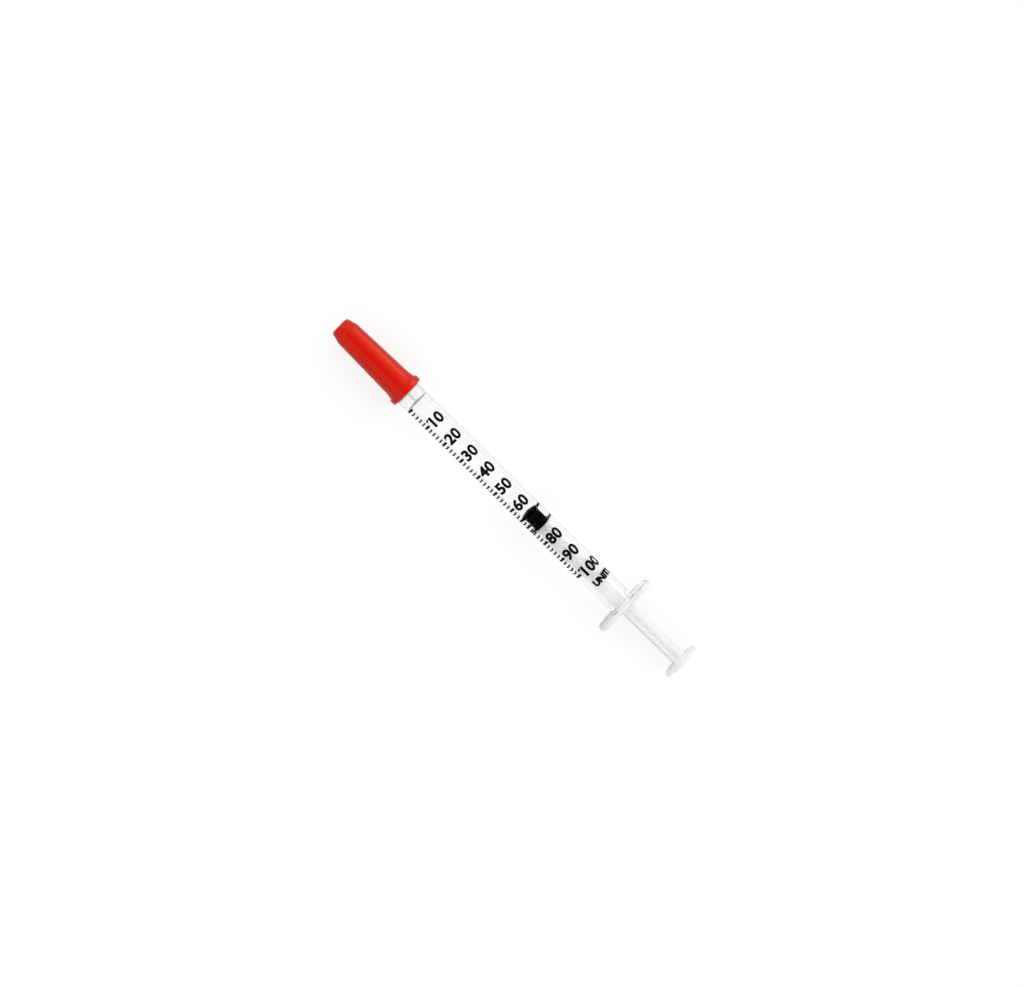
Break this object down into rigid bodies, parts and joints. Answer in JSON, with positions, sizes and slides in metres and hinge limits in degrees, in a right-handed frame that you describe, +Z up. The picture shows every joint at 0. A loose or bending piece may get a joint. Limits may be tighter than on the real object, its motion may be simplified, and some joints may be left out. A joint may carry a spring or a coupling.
{
  "type": "insulin syringe",
  "caption": "Clear small-dose syringe with fixed needle under a tapered shield, rubber stopper, cross-section plunger rod, finger flange and round thumb press.",
  "frame": {"origin": "bottom centre of the whole part, lying as it rests with the finger flange's wings level", "axes": "+X along the common axis from needle to thumb press, +Y along one flange wing, +Z up"},
  "size_m": [0.1178, 0.0166, 0.0103],
  "materials": {
    "clear_plastic": "clear moulded polypropylene, glossy, black scale printed outside",
    "needle_steel": "drawn stainless tube, smooth, ground point",
    "adhesive": "clear cured adhesive",
    "black_rubber": "smooth black rubber with a film of silicone oil",
    "milky_plastic": "natural moulded polypropylene, milky and half clear",
    "orange_red_plastic": "smooth glossy orange-red polyethylene"
  },
  "bodies": {
    "barrel": {"barrel": "clear_plastic", "needle": "needle_steel", "needle_bond": "adhesive"},
    "stopper": {"stopper": "black_rubber"},
    "plunger_rod": {"plunger_rod": "milky_plastic"},
    "needle_shield": {"needle_shield": "orange_red_plastic"}
  },
  "joints": [
    {"name": "plunger_slide", "type": "slide", "parent": "barrel", "child": "stopper", "axis": [1, 0, 0], "range_m": [-0.0182, 0.0256]},
    {"name": "rod_turn", "type": "hinge", "parent": "stopper", "child": "plunger_rod", "pos_m": [0.008, 0, 0.00515], "axis": [1, 0, 0], "continuous": true},
    {"name": "shield_pull", "type": "slide", "parent": "barrel", "child": "needle_shield", "axis": [-1, 0, 0], "range_m": [0, 0.024]}
  ]
}
